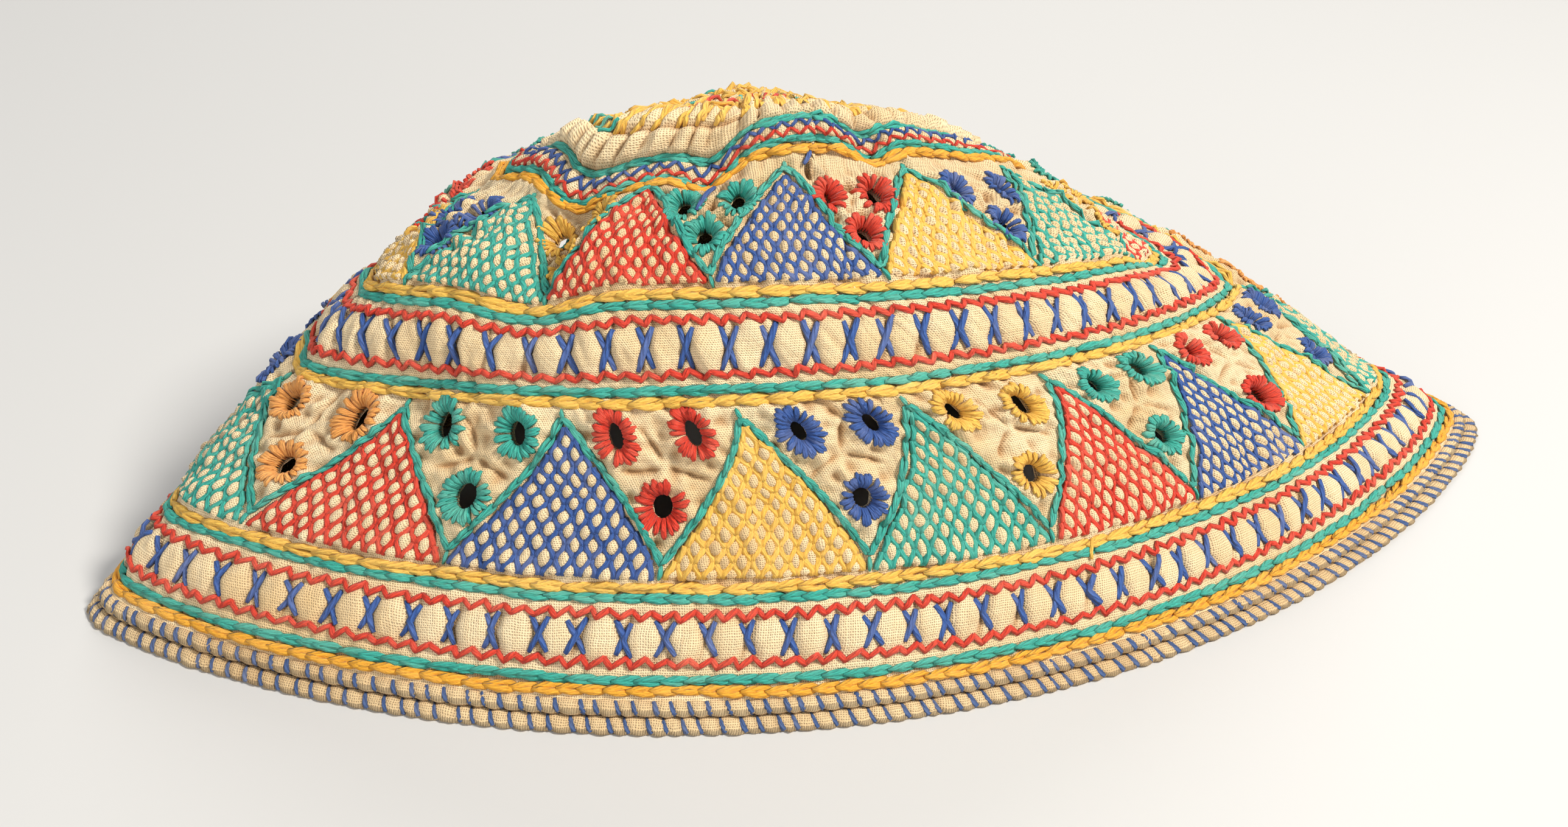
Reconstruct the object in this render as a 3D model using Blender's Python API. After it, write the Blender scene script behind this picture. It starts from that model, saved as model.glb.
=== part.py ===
"""A soft embroidered cap that stands on its rim: hem rolls, side wall and gathered crown.

The cap was stored flat, so its plan is a lens with a crease at each end.
A place on the cloth is given by two values: `around`, from 0 at the left crease
through 0.25 at the middle of the front to 1, and `up`, the millimetres of cloth
from the rim towards the crown's centre.
"""
from collections import namedtuple
from math import pi

import bmesh
import bpy
import numpy as np
from mathutils import Vector

MM = 0.001

# The cap's plan and height at each level of the cloth, in millimetres.
# slide is how far the cloth has crept round the ring, as a share of a side,
# and tilt is how much higher the right crease lies than the left one.
Section = namedtuple(
    "Section",
    "up half_length front_depth back_depth height_front height_back height_tip"
    " shift_x shift_y slide tilt",
)
SECTIONS = (
    Section(0, 132, 53, 53, 0, 0, 0, 0, -2, 0.00, 0),
    Section(24, 111, 46, 50, 21, 21, 15, -3, 5, 0.03, -3),
    Section(51, 91, 42, 44, 41, 43, 29, -7, 11, 0.02, -2),
    Section(74, 72, 33, 30, 59, 48, 43, -10, 13, -0.05, -5),
    Section(99, 54, 23, 20, 70, 60, 54, -11, 18, -0.05, -4),
    Section(110, 44, 18, 13, 76, 61, 60, -12, 16, -0.05, -5),
    Section(128, 21, 10, 8, 74, 67, 65, -15, 17, -0.03, -2),
    Section(148, 0, 0, 0, 71, 71, 71, -14, 18, 0.00, 0),
)

# Dents and folds pressed into the cloth. Half sizes are a share of the way
# around and millimetres up. A fold is pressed inwards by depth and its cloth
# sags down the cap by drop, both in millimetres.
Fold = namedtuple("Fold", "around up half_around half_up depth drop")
FOLDS = (
    Fold(0.118, 88, 0.018, 15, 7.0, 0.0),
    Fold(0.118, 74, 0.030, 12, 0.0, 3.0),
    Fold(0.115, 106, 0.040, 11, 0.5, 9.5),
    Fold(0.176, 109, 0.042, 11, 0.5, 6.5),
    Fold(0.203, 107, 0.018, 11, 2.5, 5.0),
    Fold(0.274, 107, 0.025, 10, -0.5, -1.0),
    Fold(0.293, 92, 0.016, 9, 1.2, 0.0),
    Fold(0.318, 107, 0.015, 9, 2.5, 4.0),
    Fold(0.470, 72, 0.016, 10, 2.0, 0.0),
    Fold(0.060, 50, 0.030, 14, 2.0, 0.0),
    Fold(0.600, 86, 0.022, 18, 4.0, 0.0),
    Fold(0.700, 107, 0.040, 11, 0.5, 4.0),
    Fold(0.780, 94, 0.020, 14, 5.0, 3.0),
    Fold(0.900, 60, 0.030, 20, 3.0, 0.0),
)

TIP_ROUNDING = 0.012  # how far round the cloth a crease's bend reaches at the rim
TIP_OPENING = 4.0     # how much rounder the crease is at the crown
WALL = 2.0            # thickness of the two layers of cloth
GAP = 0.4             # space between neighbouring pieces
SEAM_UP = 1.0         # the same space at the crown's seam, where the cloth is gathered
ROLL_HEIGHT = 2.2     # each of the two rolled edges at the rim
ROLL_BULGE = 1.1      # how far a roll stands out from the wall
ROLL_DEPTH = 2.0      # how far a roll reaches in from the wall's face
CROWN_START = 104.0   # where the side wall ends and the crown starts
GATHERS = 20          # pleats drawn in round the crown
GATHER_HEIGHT = 0.9   # how high a pleat stands
CENTRE_REACH = 5.0    # where the crown's last ring closes on its centre
BLEND_UP = 6.0        # below this the cloth's face turns to stand upright

FRONT_COLUMNS = 40
BACK_COLUMNS = 40
WALL_ROWS = 13
CROWN_ROWS = 7

# Rows of triangles, with three pierced eyelets between each two triangles
Row = namedtuple("Row", "units side_step high_up low_up")
EYELET_ROWS = (
    Row(units=16, side_step=0.22, high_up=48.8, low_up=35.0),
    Row(units=12, side_step=0.18, high_up=91.0, low_up=82.0),
)
EYELET_RADIUS = 1.5
EYELET_SIDES = 6
PUNCH_LENGTH = 9.0

IVORY = (0.80, 0.70, 0.50)
IVORY_CROWN = (0.82, 0.71, 0.49)
HEM_IVORY = (0.74, 0.63, 0.44)
COTTON_ROUGHNESS = 0.9


def clear_scene():
    for item in list(bpy.data.objects):
        bpy.data.objects.remove(item, do_unlink=True)


def through_sections(up):
    """A smooth curve through the columns of SECTIONS, read at each value of up."""
    table = np.array(SECTIONS, dtype=float)
    level = table[:, 0]
    value = table[:, 1:]
    step = np.diff(level)
    rate = np.diff(value, axis=0) / step[:, None]
    slope = np.empty_like(value)
    slope[0] = rate[0]
    slope[-1] = rate[-1]
    weight = (step[:-1] + step[1:])[:, None]
    slope[1:-1] = (rate[:-1] * step[1:, None] + rate[1:] * step[:-1, None]) / weight
    index = np.clip(np.searchsorted(level, up, side="right") - 1, 0, len(step) - 1)
    width = step[index][..., None]
    part = (up - level[index])[..., None] / width
    start = (2 * part**3 - 3 * part**2 + 1) * value[index]
    start_slope = (part**3 - 2 * part**2 + part) * width * slope[index]
    end = (3 * part**2 - 2 * part**3) * value[index + 1]
    end_slope = (part**3 - part**2) * width * slope[index + 1]
    return start + start_slope + end + end_slope


def ring_point(around, up):
    """Points of the smooth cap, before its folds, in millimetres."""
    around, up = np.broadcast_arrays(np.mod(around, 1.0), np.asarray(up, dtype=float))
    columns = np.moveaxis(through_sections(up), -1, 0)
    length, front, back, high_front, high_back, tip, shift_x, shift_y, slide, tilt = columns
    is_front = around < 0.5
    length = np.maximum(length, 0.001)
    depth = np.maximum(np.where(is_front, front, back), 0.001)
    mid = np.where(is_front, high_front, high_back)
    rounding = TIP_ROUNDING * (1 + TIP_OPENING * (up / SECTIONS[-1].up) ** 2)
    share = np.where(is_front, 2 * around, 2 - 2 * around)
    share = share + 4 * slide * share * (1 - share)
    edge = np.minimum(share, 1 - share) / 2
    edge = np.minimum(np.sqrt(edge**2 + rounding**2), 0.25)
    rounded = np.where(share < 0.5, 2 * edge, 1 - 2 * edge)
    half_angle = 2 * np.arctan2(depth, length)
    radius = length / np.sin(half_angle)
    x = radius * np.sin((2 * rounded - 1) * half_angle) + shift_x
    bow = radius * (np.cos((2 * share - 1) * half_angle) - np.cos(half_angle))
    y = np.where(is_front, -bow, bow) + shift_y
    z = tip + (mid - tip) * (1 - (2 * share - 1) ** 2) + tilt * (2 * share - 1)
    return np.stack([x, y, z], axis=-1)


def outward(around, up):
    """Directions that point out of the cloth, turning level at the rim."""
    small_around = 0.0015
    small_up = 0.5
    up = np.asarray(up, dtype=float)
    low = np.clip(up - small_up, 0.0, 146.0)
    along = ring_point(around + small_around, up) - ring_point(around - small_around, up)
    rise = ring_point(around, low + 2 * small_up) - ring_point(around, low)
    facing = np.cross(along, rise)
    facing /= np.linalg.norm(facing, axis=-1, keepdims=True)
    level = np.stack([along[..., 1], -along[..., 0], np.zeros_like(along[..., 0])], axis=-1)
    level /= np.linalg.norm(level, axis=-1, keepdims=True)
    upright = np.clip(1 - up / BLEND_UP, 0.0, 1.0)[..., None]
    facing = facing * (1 - upright) + level * upright
    return facing / np.linalg.norm(facing, axis=-1, keepdims=True)


def folded(around, up):
    """Where the cloth lies after its folds: its sagged level and how deep it is pressed."""
    depth = np.zeros(np.broadcast(around, up).shape)
    drop = np.zeros_like(depth)
    for fold in FOLDS:
        aside = (np.mod(around - fold.around + 0.5, 1.0) - 0.5) / fold.half_around
        weight = np.exp(-(aside**2) - ((up - fold.up) / fold.half_up) ** 2)
        depth = depth + fold.depth * weight
        drop = drop + fold.drop * weight
    return up - drop, depth


def cloth_point(around, up, proud=0.0):
    """A point of the folded cloth, moved out from its face by proud."""
    level, depth = folded(around, up)
    offset = proud - depth
    return ring_point(around, level) + outward(around, level) * offset[..., None]


def columns_around():
    front = np.linspace(0.0, 0.5, FRONT_COLUMNS, endpoint=False)
    back = np.linspace(0.5, 1.0, BACK_COLUMNS, endpoint=False)
    return np.concatenate([front, back])


def cotton(name, color):
    material = bpy.data.materials.new(name)
    material.use_nodes = True
    shader = material.node_tree.nodes["Principled BSDF"]
    shader.inputs["Base Color"].default_value = (*color, 1.0)
    shader.inputs["Roughness"].default_value = COTTON_ROUGHNESS
    shader.inputs["Metallic"].default_value = 0.0
    material.diffuse_color = (*color, 1.0)
    return material


def add_object(name, mesh, collection, color):
    mesh.shade_smooth()
    mesh.set_sharp_from_angle(angle=pi / 4)
    item = bpy.data.objects.new(name, mesh)
    collection.objects.link(item)
    mesh.materials.append(cotton(name + "_cotton", color))
    return item


def loft(name, rings, poles=None):
    """A closed mesh through rings of points.

    With two poles the first and last ring close on them; without, the last ring
    joins the first, so the mesh is a hoop.
    """
    rows, columns = rings.shape[:2]
    points = [tuple(point) for point in (rings * MM).reshape(-1, 3)]
    faces = []
    for row in range(rows if poles is None else rows - 1):
        above = (row + 1) % rows
        for column in range(columns):
            beside = (column + 1) % columns
            faces.append((
                row * columns + column,
                row * columns + beside,
                above * columns + beside,
                above * columns + column,
            ))
    if poles is not None:
        first_pole = len(points)
        last_row = (rows - 1) * columns
        points += [tuple(pole * MM) for pole in poles]
        for column in range(columns):
            beside = (column + 1) % columns
            faces.append((beside, column, first_pole))
            faces.append((last_row + column, last_row + beside, first_pole + 1))
    mesh = bpy.data.meshes.new(name)
    mesh.from_pydata(points, [], faces)
    return mesh


def two_faces(around, levels, lift):
    """Rings up the outer face of the cloth, and rings up its inner face."""
    outer = cloth_point(around, levels, lift)
    inner = cloth_point(around, levels, lift - WALL)
    return outer, inner


def build_side_wall(collection):
    start = 2 * ROLL_HEIGHT + 2 * GAP
    levels = np.linspace(start, CROWN_START - SEAM_UP, WALL_ROWS)[:, None]
    outer, inner = two_faces(columns_around()[None, :], levels, 0.0)
    mesh = loft("side_wall", np.concatenate([outer, inner[::-1]]))
    return add_object("side_wall", mesh, collection, IVORY)


def gather(around, up):
    """Height of the crown's pleats, which fade in from the seam and out at the centre."""
    share = np.clip((up - CROWN_START) / (SECTIONS[-1].up - CROWN_START), 0.0, 1.0)
    return GATHER_HEIGHT * np.sin(pi * share) ** 0.7 * np.cos(2 * pi * GATHERS * around)


def build_crown_top(collection):
    """The gathered top, whose two faces close on a point each at the centre."""
    last = SECTIONS[-1].up
    around = columns_around()[None, :]
    levels = np.linspace(CROWN_START, last - CENTRE_REACH, CROWN_ROWS)[:, None]
    outer, inner = two_faces(around, levels, gather(around, levels))
    centre = ring_point(np.float64(0.25), last)
    poles = (centre - np.array([0.0, 0.0, WALL]), centre)
    mesh = loft("crown_top", np.concatenate([inner[::-1], outer]), poles)
    return add_object("crown_top", mesh, collection, IVORY_CROWN)


def build_roll(name, bottom, collection):
    """One rolled edge: a bulged strip round the rim with a flat underside and top."""
    top = bottom + ROLL_HEIGHT
    profile = (
        (bottom, ROLL_BULGE * 0.4),
        (bottom + 0.25 * ROLL_HEIGHT, ROLL_BULGE),
        (bottom + 0.75 * ROLL_HEIGHT, ROLL_BULGE),
        (top, ROLL_BULGE * 0.4),
        (top, -ROLL_DEPTH),
        (bottom, -ROLL_DEPTH),
    )
    around = columns_around()
    rings = np.stack([cloth_point(around, np.full_like(around, up), proud) for up, proud in profile])
    mesh = loft(name, rings)
    return add_object(name, mesh, collection, HEM_IVORY)


def eyelet_places():
    """Where each eyelet sits: two above and one below in every gap between triangles."""
    places = []
    for row in EYELET_ROWS:
        for unit in range(row.units):
            middle = unit + 0.5
            places.append(((middle - row.side_step) / row.units, row.high_up))
            places.append(((middle + row.side_step) / row.units, row.high_up))
            places.append((middle / row.units, row.low_up))
    return places


def build_punches(collection):
    """One cutter mesh of small prisms, each square to the cloth at its eyelet."""
    shape = bmesh.new()
    for around, up in eyelet_places():
        centre = Vector(cloth_point(around, up)) * MM
        level, _ = folded(around, up)
        facing = Vector(outward(around, level))
        matrix = facing.to_track_quat("Z", "Y").to_matrix().to_4x4()
        matrix.translation = centre
        bmesh.ops.create_cone(
            shape,
            cap_ends=True,
            segments=EYELET_SIDES,
            radius1=EYELET_RADIUS * MM,
            radius2=EYELET_RADIUS * MM,
            depth=PUNCH_LENGTH * MM,
            matrix=matrix,
        )
    mesh = bpy.data.meshes.new("eyelet_punches")
    shape.to_mesh(mesh)
    shape.free()
    punches = bpy.data.objects.new("eyelet_punches", mesh)
    collection.objects.link(punches)
    punches.hide_render = True
    punches.display_type = "WIRE"
    return punches


def pierce(wall, punches):
    cut = wall.modifiers.new("eyelets", "BOOLEAN")
    cut.operation = "DIFFERENCE"
    cut.solver = "EXACT"
    cut.object = punches


def main():
    clear_scene()
    parts = bpy.data.collections.new("embroidered_cap")
    cutters = bpy.data.collections.new("cutters")
    bpy.context.scene.collection.children.link(parts)
    bpy.context.scene.collection.children.link(cutters)
    build_roll("rim_roll_lower", 0.0, parts)
    build_roll("rim_roll_upper", ROLL_HEIGHT + GAP, parts)
    wall = build_side_wall(parts)
    pierce(wall, build_punches(cutters))
    build_crown_top(parts)


main()
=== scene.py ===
from collections import namedtuple
from math import pi, radians

import bpy
import numpy as np
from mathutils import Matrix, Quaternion, Vector


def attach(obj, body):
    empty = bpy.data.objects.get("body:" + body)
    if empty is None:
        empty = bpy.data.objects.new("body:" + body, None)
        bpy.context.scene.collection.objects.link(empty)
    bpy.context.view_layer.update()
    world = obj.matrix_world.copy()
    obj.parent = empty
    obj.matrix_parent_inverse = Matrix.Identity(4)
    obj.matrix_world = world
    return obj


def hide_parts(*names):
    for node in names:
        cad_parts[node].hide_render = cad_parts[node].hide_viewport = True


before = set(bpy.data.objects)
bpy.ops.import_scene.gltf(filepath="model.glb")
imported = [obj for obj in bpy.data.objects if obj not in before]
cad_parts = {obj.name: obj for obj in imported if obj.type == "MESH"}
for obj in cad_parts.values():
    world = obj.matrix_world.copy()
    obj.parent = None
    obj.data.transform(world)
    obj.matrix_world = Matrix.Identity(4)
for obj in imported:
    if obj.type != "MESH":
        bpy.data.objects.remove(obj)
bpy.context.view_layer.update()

# Sizes are in millimetres unless a name says otherwise. A place on the cloth is
# `around`, from 0 at the left crease through 0.25 at the front's middle to 1,
# and `up`, the millimetres of cloth from the rim towards the crown's centre.
MM = 0.001

Section = namedtuple(
    "Section",
    "up half_length front_depth back_depth height_front height_back height_tip"
    " shift_x shift_y slide tilt",
)
SECTIONS = (
    Section(0, 132, 53, 53, 0, 0, 0, 0, -2, 0.00, 0),
    Section(24, 111, 46, 50, 21, 21, 15, -3, 5, 0.03, -3),
    Section(51, 91, 42, 44, 41, 43, 29, -7, 11, 0.02, -2),
    Section(74, 72, 33, 30, 59, 48, 43, -10, 13, -0.05, -5),
    Section(99, 54, 23, 20, 70, 60, 54, -11, 18, -0.05, -4),
    Section(110, 44, 18, 13, 76, 61, 60, -12, 16, -0.05, -5),
    Section(128, 21, 10, 8, 74, 67, 65, -15, 17, -0.03, -2),
    Section(148, 0, 0, 0, 71, 71, 71, -14, 18, 0.00, 0),
)

# Dents pressed inwards by depth, where the cloth also sags by drop
Fold = namedtuple("Fold", "around up half_around half_up depth drop")
FOLDS = (
    Fold(0.118, 88, 0.018, 15, 7.0, 0.0),
    Fold(0.118, 74, 0.030, 12, 0.0, 3.0),
    Fold(0.115, 106, 0.040, 11, 0.5, 9.5),
    Fold(0.176, 109, 0.042, 11, 0.5, 6.5),
    Fold(0.203, 107, 0.018, 11, 2.5, 5.0),
    Fold(0.274, 107, 0.025, 10, -0.5, -1.0),
    Fold(0.293, 92, 0.016, 9, 1.2, 0.0),
    Fold(0.318, 107, 0.015, 9, 2.5, 4.0),
    Fold(0.470, 72, 0.016, 10, 2.0, 0.0),
    Fold(0.060, 50, 0.030, 14, 2.0, 0.0),
    Fold(0.600, 86, 0.022, 18, 4.0, 0.0),
    Fold(0.700, 107, 0.040, 11, 0.5, 4.0),
    Fold(0.780, 94, 0.020, 14, 5.0, 3.0),
    Fold(0.900, 60, 0.030, 20, 3.0, 0.0),
)
TIP_ROUNDING = 0.012
TIP_OPENING = 4.0
BLEND_UP = 6.0
WALL = 2.0
CENTRE_UP = SECTIONS[-1].up

# Levels of the pattern
ROLL_HEIGHT = 2.2
ROLL_GAP = 0.4
WALL_START = 2 * ROLL_HEIGHT + 2 * ROLL_GAP
CLOTH_START = 4.0
CLOTH_SPLIT = 56.0
CROWN_START = 104.0
PLEATS_START = 110.0
PLEATS_END = 115.0
WRAPPED_MIDDLE = 120.5
WRAPPED_END = 127.5
CROWN_CLOSES = 145.0

Band = namedtuple("Band", "low_zigzag high_zigzag crosses")
BANDS = (Band(9.8, 16.5, 86), Band(58.6, 67.0, 60))

Triangles = namedtuple("Triangles", "units base valley apex cells colors")
CROSS_PITCH = 6.3
CROSS_HALF_WIDTH = 1.25
# A net ends short of its triangle's top and sides; its joints are two strands wide
NET_TOP_GAP = 1.5
NET_WIDTH = 0.95
NODE_GAP = 0.006
TRIANGLES = (
    Triangles(16, 22.0, 24.0, 51.5, 11, "teal red blue yellow".split()),
    Triangles(12, 73.2, 74.5, 97.5, 11, "yellow teal red blue".split()),
)
# Two eyelets above and one below in each gap; side_step is a share of a unit
EyeletRow = namedtuple("EyeletRow", "side_step high_up low_up size")
EYELET_ROWS = (EyeletRow(0.22, 48.8, 35.0, 1.0), EyeletRow(0.18, 91.0, 82.0, 0.82))
GAP_COLORS = {
    frozenset(("teal", "red")): "orange",
    frozenset(("red", "blue")): "teal",
    frozenset(("blue", "yellow")): "red",
    frozenset(("yellow", "teal")): "blue",
}
SCALLOPS = 204
HEM_LEAN = 0.3
ROLL_GIRTH = 7.0
THIN_BAND_CELLS = 84
THIN_BAND_MIDDLE = 106.8
# Levels of the lines of chain stitch
TEAL_LINES = (7.4, 18.8, 56.0, 69.5)
YELLOW_LINES = (20.3, 54.3, 71.3)
GOLD_LINES = (5.9, 102.0)
CROWN_TEAL_LINES = (104.0, 109.6, 131.0)
CROWN_YELLOW_LINES = (120.7, 128.5, 140.0)


# The cap's surface

def through_sections(up):
    """A smooth curve through the columns of SECTIONS, read at each value of up."""
    table = np.array(SECTIONS, dtype=float)
    level = table[:, 0]
    value = table[:, 1:]
    step = np.diff(level)
    rate = np.diff(value, axis=0) / step[:, None]
    slope = np.empty_like(value)
    slope[0] = rate[0]
    slope[-1] = rate[-1]
    weight = (step[:-1] + step[1:])[:, None]
    slope[1:-1] = (rate[:-1] * step[1:, None] + rate[1:] * step[:-1, None]) / weight
    index = np.clip(np.searchsorted(level, up, side="right") - 1, 0, len(step) - 1)
    width = step[index][..., None]
    part = (up - level[index])[..., None] / width
    start = (2 * part**3 - 3 * part**2 + 1) * value[index]
    start_slope = (part**3 - 2 * part**2 + part) * width * slope[index]
    end = (3 * part**2 - 2 * part**3) * value[index + 1]
    end_slope = (part**3 - part**2) * width * slope[index + 1]
    return start + start_slope + end + end_slope


def ring_point(around, up):
    """Points of the smooth cap, before its folds."""
    around, up = np.broadcast_arrays(np.mod(around, 1.0), np.asarray(up, dtype=float))
    columns = np.moveaxis(through_sections(up), -1, 0)
    length, front, back, high_front, high_back, tip, shift_x, shift_y, slide, tilt = columns
    is_front = around < 0.5
    length = np.maximum(length, 0.001)
    depth = np.maximum(np.where(is_front, front, back), 0.001)
    mid = np.where(is_front, high_front, high_back)
    rounding = TIP_ROUNDING * (1 + TIP_OPENING * (up / CENTRE_UP) ** 2)
    share = np.where(is_front, 2 * around, 2 - 2 * around)
    share = share + 4 * slide * share * (1 - share)
    edge = np.minimum(share, 1 - share) / 2
    edge = np.minimum(np.sqrt(edge**2 + rounding**2), 0.25)
    rounded = np.where(share < 0.5, 2 * edge, 1 - 2 * edge)
    half_angle = 2 * np.arctan2(depth, length)
    radius = length / np.sin(half_angle)
    x = radius * np.sin((2 * rounded - 1) * half_angle) + shift_x
    bow = radius * (np.cos((2 * share - 1) * half_angle) - np.cos(half_angle))
    y = np.where(is_front, -bow, bow) + shift_y
    z = tip + (mid - tip) * (1 - (2 * share - 1) ** 2) + tilt * (2 * share - 1)
    return np.stack([x, y, z], axis=-1)


def unit_vectors(vectors):
    return vectors / np.maximum(np.linalg.norm(vectors, axis=-1, keepdims=True), 1e-9)


def outward(around, up):
    """Directions that point out of the cloth, turning level at the rim."""
    small_around = 0.0015
    small_up = 0.5
    low = np.clip(up - small_up, 0.0, CENTRE_UP - 2.0)
    along = ring_point(around + small_around, up) - ring_point(around - small_around, up)
    rise = ring_point(around, low + 2 * small_up) - ring_point(around, low)
    facing = unit_vectors(np.cross(along, rise))
    level = np.stack([along[..., 1], -along[..., 0], np.zeros_like(along[..., 0])], axis=-1)
    upright = np.clip(1 - up / BLEND_UP, 0.0, 1.0)[..., None]
    return unit_vectors(facing * (1 - upright) + unit_vectors(level) * upright)


def folded(around, up):
    """Where the cloth lies after its folds: its sagged level and how deep it is pressed."""
    depth = np.zeros(np.broadcast(around, up).shape)
    drop = np.zeros_like(depth)
    for fold in FOLDS:
        aside = (np.mod(around - fold.around + 0.5, 1.0) - 0.5) / fold.half_around
        weight = np.exp(-(aside**2) - ((up - fold.up) / fold.half_up) ** 2)
        depth = depth + fold.depth * weight
        drop = drop + fold.drop * weight
    return up - drop, depth


def cloth_frame(around, up, proud=0.0):
    """Points of the folded cloth, moved out by proud, and their outward directions."""
    around, up = np.broadcast_arrays(np.asarray(around, float), np.asarray(up, float))
    level, depth = folded(around, up)
    facing = outward(around, level)
    return ring_point(around, level) + facing * (proud - depth)[..., None], facing


def smooth_cloth(around, up):
    """Points of the folded cloth before its relief."""
    level, depth = folded(around, up)
    return ring_point(around, level) - outward(around, level) * depth[..., None]


def mm_per_unit(around, up, wide=0.002, tall=0.5):
    """Millimetres of cloth for a whole turn of around, and for one step of up."""
    along = smooth_cloth(around + wide, up) - smooth_cloth(around - wide, up)
    rise = smooth_cloth(around, up + tall) - smooth_cloth(around, up - tall)
    return (
        np.maximum(np.linalg.norm(along, axis=-1) / (2 * wide), 20.0),
        np.maximum(np.linalg.norm(rise, axis=-1) / (2 * tall), 0.35),
    )


def shifted(around, up, right, higher):
    """The place right and higher, in millimetres along the cloth, of a place."""
    turn, step = mm_per_unit(around, up)
    return around + right / turn, up + higher / step


# Eyelets

Eyelet = namedtuple("Eyelet", "around up hole_wide hole_tall reach color")
Place = namedtuple("Place", "around up")


def place_eyelets():
    draw = np.random.default_rng(11)
    eyelets = []
    for row, triangles in zip(EYELET_ROWS, TRIANGLES):
        for unit in range(triangles.units):
            left = triangles.colors[unit % 4]
            right = triangles.colors[(unit + 1) % 4]
            color = GAP_COLORS[frozenset((left, right))]
            if color == "orange" and unit % 8:
                color = "yellow"
            for step, up in ((-1, row.high_up), (1, row.high_up), (0, row.low_up)):
                aside = step * row.side_step + draw.uniform(-0.02, 0.02)
                rounder = 0.3 if step == 0 else 0.0
                eyelets.append(Eyelet(
                    around=(unit + 0.5 + aside) / triangles.units,
                    up=up + draw.uniform(-0.6, 0.6),
                    hole_wide=row.size * (draw.uniform(1.15, 1.5) + rounder),
                    hole_tall=row.size * draw.uniform(1.7, 2.2),
                    reach=row.size * draw.uniform(2.05, 2.4),
                    color=color,
                ))
    return eyelets


EYELETS = place_eyelets()


def eyelet_scale(eyelet):
    """Millimetres for a turn and for a step of up, as they are on average round an eyelet."""
    return mm_per_unit(np.float64(eyelet.around), np.float64(eyelet.up), 0.008, 2.5)


def from_place(place, around, up):
    """Millimetres right of and above a place on the cloth."""
    turn, step = eyelet_scale(place)
    aside = np.mod(around - place.around + 0.5, 1.0) - 0.5
    return aside * turn, (up - place.up) * step


# Relief of the quilted cloth, with the heights of its forms

PUFF_HEIGHT = 1.35
ARM_PUFF_HEIGHT = 0.8
TUFT_HEIGHT = 1.1
PLEAT_HEIGHT = 1.8
LOW_WRAP_HEIGHT = 1.5
HIGH_WRAP_HEIGHT = 1.4
ROSETTE_HEIGHT = 1.2
PUCKER_HEIGHT = 1.15
GROOVE_DEPTH = 0.45
# Depth below the nearby cloth at which a hollow gets its full soil and painted shade
SOIL_AND_SHADE_DEPTH = 0.6


def noise(x, y, seed, wrap):
    """Smooth noise from -1 to 1 on a unit grid that repeats every wrap cells along x."""
    table = np.random.default_rng(seed).uniform(-1, 1, (wrap, 256))
    column = np.floor(x).astype(int)
    row = np.floor(y).astype(int)
    across = x - column
    above = y - row
    across = across * across * (3 - 2 * across)
    above = above * above * (3 - 2 * above)
    near = table[column % wrap, row % 256]
    right = table[(column + 1) % wrap, row % 256]
    over = table[column % wrap, (row + 1) % 256]
    far = table[(column + 1) % wrap, (row + 1) % 256]
    low = near + (right - near) * across
    return low + (over + (far - over) * across - low) * above


def uneven(count, seed):
    """Places of count creases round the cap, not quite evenly spaced."""
    step = np.random.default_rng(seed).uniform(-0.2, 0.2, count)
    return (np.arange(count) + step) / count


PLEATS = uneven(60, 81)
WRAPS = uneven(52, 82)
ROSETTE = uneven(26, 83)
SCALLOP_CREASES = uneven(SCALLOPS, 84)


def puffs(around, creases, sharp):
    """Rounded puffs between creases, 0 at a crease and about 1 between, each its own size."""
    count = len(creases)
    edges = np.concatenate([[creases[-1] - 1], creases, [creases[0] + 1]])
    turn = np.interp(np.mod(around, 1.0), edges, np.arange(-1, count + 1))
    size = np.random.default_rng(count).uniform(0.8, 1.2, count)
    return size[np.floor(turn).astype(int) % count] * np.abs(np.sin(pi * turn)) ** sharp


def bump(value, start, end, soft):
    """1 between start and end, falling off over soft on both sides."""
    rise = np.clip((value - start) / soft, 0, 1)
    fall = np.clip((end - value) / soft, 0, 1)
    return rise * fall


def middle_of(band):
    return (band.low_zigzag + band.high_zigzag) / 2


def band_leans(band, wide=0.01, tall=2.0):
    """Places round a band, and the turn for each step of up of a line square to it."""
    around = np.linspace(0, 1, 481)
    middle = np.full_like(around, middle_of(band))
    along = smooth_cloth(around + wide, middle) - smooth_cloth(around - wide, middle)
    rise = smooth_cloth(around, middle + tall) - smooth_cloth(around, middle - tall)
    share = np.sum(along * rise, axis=-1) / np.sum(along**2, axis=-1)
    return around, -share * wide / tall


BAND_LEANS = [band_leans(band) for band in BANDS]


def square_to_band(number, around, up):
    """The turn from the middle of a band to a level of up, along a line square to it."""
    lean = np.interp(np.mod(around, 1.0), *BAND_LEANS[number])
    return lean * (up - middle_of(BANDS[number]))


def band_relief(around, up):
    """Puffs between the crosses of a band, and smaller ones between their arms."""
    height = np.zeros_like(up)
    for number, band in enumerate(BANDS):
        share = np.clip((up - band.low_zigzag) / (band.high_zigzag - band.low_zigzag), 0, 1)
        turn = (around - square_to_band(number, around, up)) * band.crosses
        aside = np.abs(turn - np.round(turn)) * CROSS_PITCH
        arm = CROSS_HALF_WIDTH * np.abs(2 * share - 1)
        away = np.abs(aside - arm)
        outer = PUFF_HEIGHT * (1 - np.exp(-((away / 0.8) ** 2)))
        inner = ARM_PUFF_HEIGHT * (1 - np.exp(-((away / 0.5) ** 2)))
        height += np.where(aside > arm, outer, inner) * np.sin(pi * share) ** 0.45
    return height


def net_bend(share):
    """How a leg of a net crosses its row: upright at both joints and slanted between."""
    return 0.25 * share + 0.75 * (3 * share**2 - 2 * share**3)


def net_wander(around, up):
    """Millimetres right and up by which hand sewing strays from an even net."""
    right = 0.35 * noise(around * 150, up / 3.2, 18, 150)
    return right, 0.35 * noise(around * 170, up / 3.0, 17, 170)


def net_height(triangles):
    return triangles.apex - NET_TOP_GAP - triangles.base


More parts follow.
